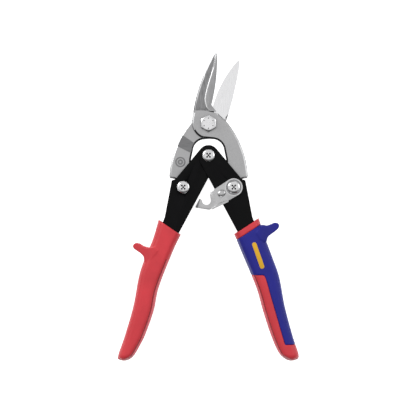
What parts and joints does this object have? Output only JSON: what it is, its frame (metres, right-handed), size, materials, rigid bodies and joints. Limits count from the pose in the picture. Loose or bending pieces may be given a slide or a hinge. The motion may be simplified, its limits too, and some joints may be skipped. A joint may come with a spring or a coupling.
{
  "type": "aviation snips",
  "caption": "Compound-lever hand shears for sheet metal with two ground jaws, channel handles, return spring, closing latch and moulded grips.",
  "frame": {"origin": "bottom centre of the bounding box, with the snips lying flat on their back face and open to the stop", "axes": "+Y along the snips towards the blade tips, +X towards the right-hand handle seen from the front, +Z out of the front face, which carries the hexagon bolt head and the latch"},
  "size_m": [0.1502, 0.254, 0.0255],
  "materials": {
    "forged_steel": "satin forged and ground steel",
    "polished_steel": "fine ground steel with a lengthwise grain",
    "bright_steel": "bright zinc-plated steel",
    "latch_steel": "satin pressed steel",
    "spring_steel": "oiled spring steel",
    "black_paint": "semi-gloss black powder coat",
    "red_vinyl": "satin red moulded vinyl",
    "blue_rubber": "satin blue soft rubber"
  },
  "bodies": {
    "handle_right": {"right_handle_frame": "black_paint", "right_grip": "red_vinyl", "right_grip_cover": "blue_rubber", "right_rivet": "bright_steel", "right_front_spacer": "bright_steel", "right_back_spacer": "bright_steel", "centre_rivet": "bright_steel", "spring_bush": "bright_steel", "return_spring": "spring_steel", "latch_washer": "spring_steel"},
    "handle_left": {"left_handle_frame": "black_paint", "left_grip": "red_vinyl", "left_rivet": "bright_steel", "left_front_spacer": "bright_steel", "left_back_spacer": "bright_steel"},
    "jaw_front": {"front_jaw": "forged_steel", "pivot_bolt": "bright_steel", "pivot_washer": "spring_steel", "pivot_nut": "bright_steel"},
    "jaw_back": {"back_jaw": "polished_steel"},
    "latch": {"latch": "latch_steel"}
  },
  "joints": [
    {"name": "handle_pivot", "type": "hinge", "parent": "handle_right", "child": "handle_left", "pos_m": [0.0001, 0.04227, 0.01045], "axis": [0, 0, 1], "range_deg": [0, 34.38], "stiffness_Nm_per_rad": 0.5, "springref_deg": -34.38, "deforming": ["return_spring"]},
    {"name": "front_jaw_pivot", "type": "hinge", "parent": "handle_right", "child": "jaw_front", "pos_m": [0.02081, 0.01607, 0.01045], "axis": [0, 0, 1], "range_deg": [0, 8]},
    {"name": "blade_pivot", "type": "hinge", "parent": "jaw_front", "child": "jaw_back", "pos_m": [0.0001, 0.06863, 0.01045], "axis": [0, 0, 1], "range_deg": [0, 18.42]},
    {"name": "latch_pivot", "type": "hinge", "parent": "handle_right", "child": "latch", "pos_m": [0.02081, 0.01607, 0.01875], "axis": [0, 0, 1], "range_deg": [-8.5, 12]}
  ],
  "couplings": [
    {"joint": "front_jaw_pivot", "follows": "handle_pivot", "ratio": 0.23243},
    {"joint": "blade_pivot", "follows": "handle_pivot", "ratio": 0.53513}
  ]
}
